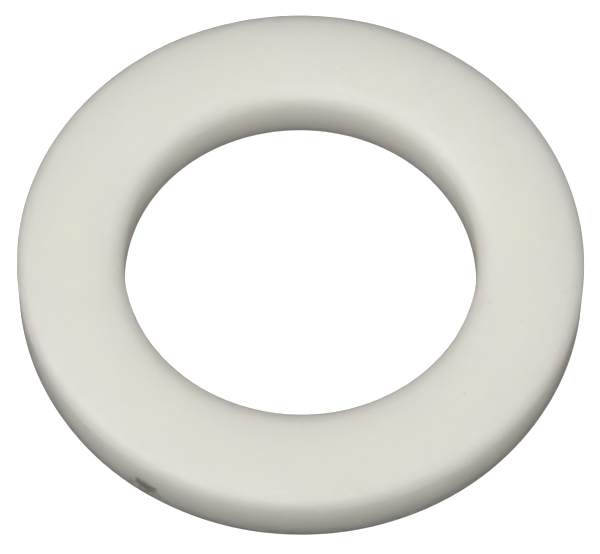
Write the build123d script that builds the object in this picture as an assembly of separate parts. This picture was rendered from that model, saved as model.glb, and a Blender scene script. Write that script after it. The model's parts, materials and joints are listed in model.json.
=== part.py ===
from build123d import *
import os

# A flat washer moulded in one piece, in millimetres.
# The origin is the centre of the bore on the lower face, and +Z runs up along the bore.

# ring
outer_diameter = 18.5
bore_diameter = 11.5
thickness = 2.5

# rounding of the rim's two edges and the bore's two edges
rim_edge_radius = 0.5
bore_edge_radius = 0.65

# gate scar: a shallow pocket low on the rim's wall, around the broken stub of the runner
gate_angle = 238.0
gate_height = 0.85
gate_pocket_width = 0.9
gate_pocket_height = 0.6
gate_pocket_depth = 0.12
gate_stub_width = 0.45
gate_stub_height = 0.3
gate_stub_recess = 0.04

outer_radius = outer_diameter / 2
bore_radius = bore_diameter / 2
half_height = thickness / 2


def ring():
    # the washer's rounded section, turned once about the bore's axis
    section_width = outer_radius - bore_radius
    section_centre = Pos(bore_radius + section_width / 2, half_height)
    section = section_centre * Rectangle(section_width, thickness)
    section = fillet(section.vertices().group_by(Axis.X)[-1], rim_edge_radius)
    section = fillet(section.vertices().group_by(Axis.X)[0], bore_edge_radius)
    return revolve(Plane.XZ * section, Axis.Z)


def rim_block(width, height):
    # a block that crosses the rim at the gate, as deep into it as the pocket's floor
    centre = Rot(0, 0, gate_angle) * Pos(outer_radius, 0, gate_height)
    return centre * Box(2 * gate_pocket_depth, width, height)


def gate_pocket():
    # the stub stands up from the pocket's floor and stops short of the rim
    stub_end = Pos(0, 0, half_height) * Cylinder(outer_radius - gate_stub_recess, thickness)
    stub = rim_block(gate_stub_width, gate_stub_height) & stub_end
    return rim_block(gate_pocket_width, gate_pocket_height) - stub


def washer():
    return ring() - gate_pocket()


os.makedirs("parts", exist_ok=True)
export_step(washer(), "parts/washer.step")
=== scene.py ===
import json
import math
import bmesh
import bpy
from mathutils import Matrix, Vector, noise


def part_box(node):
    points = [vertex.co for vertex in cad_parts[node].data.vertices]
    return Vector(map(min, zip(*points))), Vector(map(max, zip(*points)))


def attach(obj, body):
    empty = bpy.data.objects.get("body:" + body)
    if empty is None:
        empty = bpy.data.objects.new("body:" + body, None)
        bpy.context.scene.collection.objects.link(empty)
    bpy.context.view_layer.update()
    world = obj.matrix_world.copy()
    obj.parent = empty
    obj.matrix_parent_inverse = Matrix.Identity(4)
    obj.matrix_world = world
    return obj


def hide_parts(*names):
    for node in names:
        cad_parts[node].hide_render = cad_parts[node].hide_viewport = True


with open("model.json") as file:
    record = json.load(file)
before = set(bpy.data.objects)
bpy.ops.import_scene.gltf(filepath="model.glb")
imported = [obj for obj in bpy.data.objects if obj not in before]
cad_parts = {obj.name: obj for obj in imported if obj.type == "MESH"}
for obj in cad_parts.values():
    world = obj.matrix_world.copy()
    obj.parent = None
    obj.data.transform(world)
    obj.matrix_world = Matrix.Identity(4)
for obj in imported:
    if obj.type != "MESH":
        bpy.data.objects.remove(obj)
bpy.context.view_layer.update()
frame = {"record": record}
mm = 0.001
closeBy = 0.01 * mm                # points nearer than this count as level, or on one circle
washerLow, washerHigh = (Vector(corner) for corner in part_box("washer"))
washerMiddle = (washerLow + washerHigh) / 2
mounts = {mount["name"]: mount for mount in frame["record"]["mounts"]}
print("frame: washer box", tuple(washerLow), tuple(washerHigh))


def linearColour(hexCode):
    # an sRGB hex value as the linear RGBA that sockets take
    shares = [int(hexCode[i:i + 2], 16) / 255 for i in (1, 3, 5)]
    return [s / 12.92 if s <= 0.04045 else ((s + 0.055) / 1.055) ** 2.4 for s in shares] + [1.0]


def addNode(tree, kind, settings=None, inputs=None, links=None):
    # one node with its settings, its socket values and what feeds its sockets
    node = tree.nodes.new(kind)
    for name, value in (settings or {}).items():
        setattr(node, name, value)
    for socket, value in (inputs or {}).items():
        node.inputs[socket].default_value = value
    for socket, source in (links or {}).items():
        tree.links.new(source, node.inputs[socket])
    return node


def featureScale(size):
    # a noise texture's scale for features about this many millimetres across
    return 1 / (size * mm)


def softStep(value, start, end):
    # 0 before start, 1 after end and an S-curve between
    share = min(max((value - start) / (end - start), 0.0), 1.0)
    return share * share * (3 - 2 * share)


def linkObject(name, data):
    made = bpy.data.objects.new(name, data)
    bpy.context.scene.collection.objects.link(made)
    return made


def smoothObject(name, bm):
    # the finished mesh as a smooth-shaded object in the scene
    bmesh.ops.recalc_face_normals(bm, faces=bm.faces[:])
    mesh = bpy.data.meshes.new(name)
    bm.to_mesh(mesh)
    bm.free()
    mesh.polygons.foreach_set("use_smooth", [True] * len(mesh.polygons))
    print(name + ":", len(mesh.polygons), "faces")
    return linkObject(name, mesh)


# the ring, with sizes in metres
ring = {
    "thickness": washerHigh.z - washerLow.z,
    "rimRadius": mounts["rim"]["dims"]["r_mm"] * mm,
    "boreRadius": mounts["bore"]["dims"]["r_mm"] * mm,
    # the straight part of each wall, between its rounded edges
    "rimWall": mounts["rim"]["dims"]["length_mm"] * mm,
    "boreWall": mounts["bore"]["dims"]["length_mm"] * mm,
    "turnSteps": 360,
    "edgeSegments": 10,
    "faceCuts": 15,
    "wallCuts": 8,
    "weld": 0.001 * mm,
    "wallSkin": 0.02 * mm,         # a point this far inside the rim's radius still counts as on its wall
    "faceSink": 0.014 * mm,        # the faces draw in by this much as the plastic cools
    "sinkShape": 1.5,              # above 1, the sink gathers in the middle of the face
    "wander": 0.012 * mm,          # slow unevenness of the moulded surface
    "wanderSize": 3.2 * mm,
    "wanderDraw": 0.6,             # shifts the unevenness into the plastic, so that little of it stands proud
    "partingHalfWidth": 0.035 * mm,    # the witness line where the two mould halves met
    "partingFloor": 0.2,           # share of its half width that lies at full depth
    "partingDepth": 0.012 * mm,
}
ring["faceInner"] = ring["boreRadius"] + (ring["thickness"] - ring["boreWall"]) / 2
ring["faceOuter"] = ring["rimRadius"] - (ring["thickness"] - ring["rimWall"]) / 2

# the scar where the runner was broken off the rim
gate = {
    "angle": math.radians(238),
    "above": 0.85 * mm,            # its middle, measured up from the lower face
    "width": 0.9 * mm,
    "height": 0.6 * mm,
    "depth": 0.12 * mm,
    "stubWidth": 0.45 * mm,
    "stubHeight": 0.3 * mm,
    "stubRecess": 0.04 * mm,
    "softness": 0.055 * mm,        # width over which an edge of the scar falls away
    "tear": 0.03 * mm,             # roughness of the torn plastic
    "tearSize": 0.14 * mm,
    "stubTear": 2,                 # the stub's outline is torn this many times as much as the pocket's
    "grainFineness": 3,            # the finer roughness is this many times as fine as the tear
    "floorGrain": 0.3,             # share of the finer roughness that shows on the pocket's floor
    "meshMargin": 3,               # softnesses beyond the scar that the finer mesh reaches
    "meshCuts": 5,
}
gate["point"] = Vector((math.cos(gate["angle"]), math.sin(gate["angle"]), 0)) * ring["rimRadius"]
gate["point"].z = washerLow.z + gate["above"]


def radiusOf(point):
    return math.hypot(point.x, point.y)


def heightSpan(edge):
    return abs(edge.verts[0].co.z - edge.verts[1].co.z)


def circleEdges(bm, radius):
    # the edges that run round the axis at this radius
    return [edge for edge in bm.edges
            if heightSpan(edge) < closeBy
            and all(abs(radiusOf(vert.co) - radius) < closeBy for vert in edge.verts)]


def flatFaceSpokes(bm):
    # the edges that run straight across the two flat faces
    shortest = ring["faceOuter"] - ring["faceInner"] - closeBy
    return [edge for edge in bm.edges
            if heightSpan(edge) < closeBy
            and abs(radiusOf(edge.verts[0].co) - radiusOf(edge.verts[1].co)) > shortest]


def wallStaves(bm):
    # the edges that run straight up the rim and the bore
    shortest = min(ring["rimWall"], ring["boreWall"]) - closeBy
    return [edge for edge in bm.edges if heightSpan(edge) > shortest]


def cutPartingLoops(bm):
    for offset in (-ring["partingHalfWidth"], 0, ring["partingHalfWidth"]):
        bmesh.ops.bisect_plane(bm, geom=bm.verts[:] + bm.edges[:] + bm.faces[:], dist=ring["weld"],
                               plane_co=gate["point"] + Vector((0, 0, offset)), plane_no=(0, 0, 1))


def acrossGate(point):
    # how far round the rim a point is from the middle of the gate
    turn = math.atan2(point.y, point.x) - gate["angle"]
    return math.remainder(turn, 2 * math.pi) * ring["rimRadius"]


def refineGate(bm):
    margin = gate["meshMargin"] * gate["softness"]
    patch = [face for face in bm.faces
             if abs(acrossGate(face.calc_center_median())) < gate["width"] / 2 + margin
             and abs(face.calc_center_median().z - gate["point"].z) < gate["height"] / 2 + margin
             and radiusOf(face.calc_center_median()) > ring["rimRadius"] - ring["wallSkin"]]
    edges = list(dict.fromkeys(edge for face in patch for edge in face.edges))
    bmesh.ops.subdivide_edges(bm, edges=edges, cuts=gate["meshCuts"], use_grid_fill=True)


def boxMask(across, up, width, height):
    # 1 inside a soft-edged rectangle and 0 outside it
    soft = gate["softness"]
    side = 1 - softStep(abs(across), width / 2 - soft / 2, width / 2 + soft / 2)
    top = 1 - softStep(abs(up), height / 2 - soft / 2, height / 2 + soft / 2)
    return side * top


def gateDepth(point):
    # how deep the scar is here: a pocket with a torn outline, and the rough stub standing in it
    across, up = acrossGate(point), point.z - gate["point"].z
    tear = noise.noise(point / gate["tearSize"]) * gate["tear"]
    grain = noise.noise(gate["grainFineness"] * point / gate["tearSize"]) * gate["tear"]
    pocket = boxMask(across + tear, up + tear, gate["width"], gate["height"])
    stub = boxMask(across - gate["stubTear"] * tear, up + gate["stubTear"] * tear,
                   gate["stubWidth"], gate["stubHeight"])
    stubRise = gate["depth"] - gate["stubRecess"] - abs(tear) - abs(grain)
    return pocket * (gate["depth"] - stub * stubRise - gate["floorGrain"] * abs(grain))


def wearSurface(bm):
    # sink in the faces, slow unevenness, the parting line and the gate scar
    for vert in bm.verts:
        point = vert.co.copy()
        radius = radiusOf(point)
        outward = Vector((point.x, point.y, 0)) / radius
        side = 1 if point.z > washerMiddle.z else -1
        share = (radius - ring["faceInner"]) / (ring["faceOuter"] - ring["faceInner"])
        if 0 < share < 1:
            vert.co.z -= side * ring["faceSink"] * (4 * share * (1 - share)) ** ring["sinkShape"]
        drift = (noise.noise(point / ring["wanderSize"]) - ring["wanderDraw"]) * ring["wander"]
        vert.co += outward * drift * (1 if radius > (ring["faceInner"] + ring["faceOuter"]) / 2 else -1)
        if radius > ring["rimRadius"] - ring["wallSkin"]:
            if abs(point.z - gate["point"].z) < ring["partingFloor"] * ring["partingHalfWidth"]:
                vert.co -= outward * ring["partingDepth"]
            if abs(acrossGate(point)) < gate["width"]:
                vert.co -= outward * gateDepth(point)


def buildWasher():
    bm = bmesh.new()
    section = [(ring["boreRadius"], washerLow.z), (ring["rimRadius"], washerLow.z),
               (ring["rimRadius"], washerHigh.z), (ring["boreRadius"], washerHigh.z)]
    corners = [bm.verts.new((radius, 0, height)) for radius, height in section]
    sides = [bm.edges.new((corners[i - 1], corners[i])) for i in range(4)]
    bmesh.ops.spin(bm, geom=corners + sides, cent=(0, 0, 0), axis=(0, 0, 1),
                   angle=2 * math.pi, steps=ring["turnSteps"], use_merge=True)
    for radius, wall in ((ring["rimRadius"], ring["rimWall"]), (ring["boreRadius"], ring["boreWall"])):
        bmesh.ops.bevel(bm, geom=circleEdges(bm, radius), offset=(ring["thickness"] - wall) / 2,
                        affect="EDGES", segments=ring["edgeSegments"], profile=0.5, material=-1,
                        clamp_overlap=False)
    bmesh.ops.subdivide_edges(bm, edges=flatFaceSpokes(bm), cuts=ring["faceCuts"], use_grid_fill=True)
    bmesh.ops.subdivide_edges(bm, edges=wallStaves(bm), cuts=ring["wallCuts"], use_grid_fill=True)
    cutPartingLoops(bm)
    bmesh.ops.remove_doubles(bm, verts=bm.verts[:], dist=ring["weld"])
    refineGate(bm)
    wearSurface(bm)
    return smoothObject("washerMoulded", bm)


# natural nylon 66, injection moulded: a milky, faintly warm white that light soaks into, with a satin skin
nylon = {
    "warm": "#f3ecd9",
    "cool": "#f1eadd",
    # a dark colour painted round the gate: painted shade for its recess and lower lip, with some grime
    "gateGrimeAndShade": "#7c786c",
    "speck": "#bdb6a3",
    "roughness": (0.33, 0.52),     # from the satin skin to the duller scuffs
    "ior": 1.53,
    "pathLength": 5.5,             # mm that light travels inside, from the faces into the walls
    "pathTint": (1.0, 1.0, 1.06),  # how far red, green and blue reach, against that length
    # size of each pattern's features in mm, and the octaves of finer noise within them
    "patterns": {
        "clouds": (3.0, 3.0),
        "specks": (0.22, 1.0),
        "rag": (0.25, 3.0),
        "scuffs": (0.5, 5.0),
        "peel": (1.3, 1.0),        # slow ripple of the skin
        "skin": (0.16, 2.0),       # spark-eroded skin of the mould, drawn about three times too coarse
        "nicks": (0.35, 2.0),
    },
    # strength of each bump, and its height in mm
    "relief": {
        "peel": (0.7, 0.02),
        "skin": (0.8, 0.014),
        "nicks": (0.8, 0.015),
    },
    "cloudRange": (0.35, 0.65),    # the span of a pattern's noise over which it sets in
    "scuffRange": (0.35, 0.65),
    "speckRange": (0.77, 0.84),
    "nickRange": (0.66, 0.74),
    "speckStrength": 0.25,
    "grimeShadeStrength": 0.85,
    "grimeShadeReach": (0.15, 0.75),    # mm from the middle of the painted shade and grime, where it starts to fade and ends
    "grimeShadeDrop": 0.12,             # mm that the painted shade and grime lie below the middle of the gate
    "grimeShadeFlatness": 1.3,          # the painted shade and grime are this many times as wide as they are high
    "grimeShadeRag": 0.45,              # mm, how far the edge of the painted shade and grime strays
}


def makeMouldedNylon():
    material = bpy.data.materials.new("mouldedNylon")
    material.use_nodes = True
    tree = material.node_tree
    shader = tree.nodes["Principled BSDF"]
    place = addNode(tree, "ShaderNodeTexCoord").outputs["Object"]
    patterns = {}
    for name, (size, octaves) in nylon["patterns"].items():
        pattern = addNode(tree, "ShaderNodeTexNoise", links={"Vector": place},
                          inputs={"Scale": featureScale(size), "Detail": octaves})
        patterns[name] = pattern.outputs

    body = addNode(tree, "ShaderNodeValToRGB", links={"Fac": patterns["clouds"]["Fac"]})
    for element, position, colour in zip(body.color_ramp.elements, nylon["cloudRange"], ("cool", "warm")):
        element.position = position
        element.color = linearColour(nylon[colour])

    # a few unmelted specks in the plastic
    speckMask = addNode(tree, "ShaderNodeMapRange", links={"Value": patterns["specks"]["Fac"]},
                        inputs={"From Min": nylon["speckRange"][0], "From Max": nylon["speckRange"][1],
                                "To Max": nylon["speckStrength"]})
    specked = addNode(tree, "ShaderNodeMix", {"data_type": "RGBA"},
                      inputs={"B": linearColour(nylon["speck"])},
                      links={"Factor": speckMask.outputs["Result"], "A": body.outputs["Color"]})

    # painted shade in the torn gate's recess and under its lower lip, with some grime, wider than it is high,
    # with a ragged edge
    ragShift = addNode(tree, "ShaderNodeVectorMath", {"operation": "MULTIPLY_ADD"},
                       inputs={1: [nylon["grimeShadeRag"] * mm] * 3, 2: [-nylon["grimeShadeRag"] / 2 * mm] * 3},
                       links={0: patterns["rag"]["Color"]})
    ragged = addNode(tree, "ShaderNodeVectorMath", {"operation": "ADD"},
                     links={0: place, 1: ragShift.outputs["Vector"]})
    offset = addNode(tree, "ShaderNodeVectorMath", {"operation": "SUBTRACT"},
                     inputs={1: gate["point"] - Vector((0, 0, nylon["grimeShadeDrop"] * mm))},
                     links={0: ragged.outputs["Vector"]})
    flattened = addNode(tree, "ShaderNodeVectorMath", {"operation": "MULTIPLY"},
                        inputs={1: (1.0, 1.0, nylon["grimeShadeFlatness"])}, links={0: offset.outputs["Vector"]})
    away = addNode(tree, "ShaderNodeVectorMath", {"operation": "LENGTH"},
                   links={0: flattened.outputs["Vector"]})
    grimeShade = addNode(tree, "ShaderNodeMapRange", {"interpolation_type": "SMOOTHSTEP"},
                    inputs={"From Min": nylon["grimeShadeReach"][0] * mm, "From Max": nylon["grimeShadeReach"][1] * mm,
                            "To Min": nylon["grimeShadeStrength"], "To Max": 0.0},
                    links={"Value": away.outputs["Value"]})
    grimeShaded = addNode(tree, "ShaderNodeMix", {"data_type": "RGBA"},
                      inputs={"B": linearColour(nylon["gateGrimeAndShade"])},
                      links={"Factor": grimeShade.outputs["Result"], "A": specked.outputs["Result"]})
    tree.links.new(grimeShaded.outputs["Result"], shader.inputs["Base Color"])

    # satin with duller scuffs
    gloss = addNode(tree, "ShaderNodeMapRange", links={"Value": patterns["scuffs"]["Fac"]},
                    inputs={"From Min": nylon["scuffRange"][0], "From Max": nylon["scuffRange"][1],
                            "To Min": nylon["roughness"][0], "To Max": nylon["roughness"][1]})
    tree.links.new(gloss.outputs["Result"], shader.inputs["Roughness"])

    # ripple of the skin, its fine grain, and nicks from tumbling in the bag with others
    nicks = addNode(tree, "ShaderNodeMapRange", links={"Value": patterns["nicks"]["Fac"]},
                    inputs={"From Min": nylon["nickRange"][0], "From Max": nylon["nickRange"][1],
                            "To Min": 1.0, "To Max": 0.0})
    heights = {"peel": patterns["peel"]["Fac"], "skin": patterns["skin"]["Fac"],
               "nicks": nicks.outputs["Result"]}
    below = {}
    for name, (strength, height) in nylon["relief"].items():
        bump = addNode(tree, "ShaderNodeBump", inputs={"Strength": strength, "Distance": height * mm},
                       links={"Height": heights[name], **below})
        below = {"Normal": bump.outputs["Normal"]}
    tree.links.new(below["Normal"], shader.inputs["Normal"])

    shader.inputs["IOR"].default_value = nylon["ior"]
    shader.inputs["Subsurface Weight"].default_value = 1.0
    shader.inputs["Subsurface Radius"].default_value = nylon["pathTint"]
    shader.inputs["Subsurface Scale"].default_value = nylon["pathLength"] * mm
    return material


washer = buildWasher()
washer.data.materials.append(makeMouldedNylon())
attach(washer, "root")
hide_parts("washer")

# a white sweep that the washer lies on, round all the way so that every side has the same ground,
# with its sizes in metres
sweep = {
    "floorRadius": 0.9,
    "coveRadius": 0.3,
    "wallHeight": 0.9,
    "turnSteps": 96,
    "coveSegments": 12,
    "weld": 0.01 * mm,
    "colour": "#f4f4f2",
    "glow": 0.8,                   # light table under it, which burns the ground out to white
    "glowColour": "#ffffff",
    "fibreSize": 0.4,              # mm
    "fibreHeight": 0.01,           # mm
    "fibreStrength": 0.2,
}


def makeSweepPaper():
    # matt white paper on a light table: a burnt-out ground that still takes a trace of shadow
    material = bpy.data.materials.new("sweepPaper")
    material.use_nodes = True
    tree = material.node_tree
    shader = tree.nodes["Principled BSDF"]
    place = addNode(tree, "ShaderNodeTexCoord").outputs["Object"]
    fibre = addNode(tree, "ShaderNodeTexNoise", links={"Vector": place},
                    inputs={"Scale": featureScale(sweep["fibreSize"]), "Detail": 3.0})
    bump = addNode(tree, "ShaderNodeBump", links={"Height": fibre.outputs["Fac"]},
                   inputs={"Strength": sweep["fibreStrength"], "Distance": sweep["fibreHeight"] * mm})
    tree.links.new(bump.outputs["Normal"], shader.inputs["Normal"])
    shader.inputs["Base Color"].default_value = linearColour(sweep["colour"])
    shader.inputs["Roughness"].default_value = 1.0
    shader.inputs["Specular IOR Level"].default_value = 0.0
    shader.inputs["Emission Color"].default_value = linearColour(sweep["glowColour"])
    shader.inputs["Emission Strength"].default_value = sweep["glow"]
    return material


def buildSweep():
    bm = bmesh.new()
    profile = [(0, 0), (sweep["floorRadius"], 0), (sweep["floorRadius"], sweep["wallHeight"])]
    points = [bm.verts.new((radius, 0, washerLow.z + height)) for radius, height in profile]
    for i in range(2):
        bm.edges.new(points[i:i + 2])
    bmesh.ops.bevel(bm, geom=[points[1]], offset=sweep["coveRadius"], affect="VERTICES",
                    segments=sweep["coveSegments"], profile=0.5, material=-1)
    bmesh.ops.spin(bm, geom=bm.verts[:] + bm.edges[:], cent=(0, 0, 0), axis=(0, 0, 1),
                   angle=2 * math.pi, steps=sweep["turnSteps"], use_merge=True)
    bmesh.ops.remove_doubles(bm, verts=bm.verts[:], dist=sweep["weld"])
    ground = smoothObject("sweep", bm)
    ground.data.materials.append(makeSweepPaper())
    ground.visible_diffuse = False     # so the glowing ground throws no light up at the washer's walls
    ground.visible_glossy = False
    return ground


buildSweep()

# soft boxes round and over the washer: azimuth from +X and elevation in degrees, distance and side in metres,
# and brightness as the radiance of the box's face
softBoxes = {
    "overhead": {"azimuth": 90, "elevation": 72, "distance": 0.3, "side": 0.25, "brightness": 1.2},
    "left": {"azimuth": 180, "elevation": 42, "distance": 0.7, "side": 0.58, "brightness": 2.25},
    "right": {"azimuth": 0, "elevation": 42, "distance": 0.7, "side": 0.58, "brightness": 1.62},
    "front": {"azimuth": 265, "elevation": 42, "distance": 0.7, "side": 0.58, "brightness": 2.46},
}

# the little light that comes from the rest of the room
room = {
    "colour": "#ffffff",
    "brightness": 0.02,
}


def addSoftBox(name, box):
    lamp = bpy.data.lights.new(name, "AREA")
    lamp.shape = "SQUARE"
    lamp.size = box["side"]
    lamp.energy = box["brightness"] * math.pi * box["side"] ** 2
    azimuth, elevation = math.radians(box["azimuth"]), math.radians(box["elevation"])
    towards = Vector((math.cos(azimuth) * math.cos(elevation), math.sin(azimuth) * math.cos(elevation),
                      math.sin(elevation)))
    turn = towards.to_track_quat("Z", "Y").to_matrix().to_4x4()
    stand = linkObject(name, lamp)
    stand.matrix_world = Matrix.Translation(washerMiddle + towards * box["distance"]) @ turn


def dimRoom():
    world = bpy.data.worlds.new("dimRoom")
    world.use_nodes = True
    background = world.node_tree.nodes["Background"]
    background.inputs["Color"].default_value = linearColour(room["colour"])
    background.inputs["Strength"].default_value = room["brightness"]
    bpy.context.scene.world = world


for name, box in softBoxes.items():
    addSoftBox(name, box)
dimRoom()
print("lights:", len(softBoxes), "soft boxes")

# a long lens, looking down at the washer from the front
camera = {
    "elevation": math.radians(60.75),
    "distance": 16.63 * ring["rimRadius"],
    "lens": 282.2,
    "sensorWidth": 36,
    "roll": math.radians(0.65),
    "aimRight": -0.0017 * ring["rimRadius"],
    "aimUp": -0.0286 * ring["rimRadius"],      # so the washer stands a touch above the middle of the frame
    "nearest": 0.01,               # m, the span of distances that the camera sees
    "farthest": 10,
}


def addCamera():
    data = bpy.data.cameras.new("studioCamera")
    data.lens = camera["lens"]
    data.sensor_width = camera["sensorWidth"]
    data.clip_start = camera["nearest"]
    data.clip_end = camera["farthest"]
    back = Vector((0, -math.cos(camera["elevation"]), math.sin(camera["elevation"])))
    turn = back.to_track_quat("Z", "Y").to_matrix().to_4x4() @ Matrix.Rotation(camera["roll"], 4, "Z")
    aim = turn @ Vector((camera["aimRight"], camera["aimUp"], 0))
    eye = linkObject("studioCamera", data)
    eye.matrix_world = Matrix.Translation(washerMiddle + back * camera["distance"] + aim) @ turn
    bpy.context.scene.camera = eye


addCamera()
bpy.context.scene.view_settings.view_transform = "Standard"
print("camera: placed")
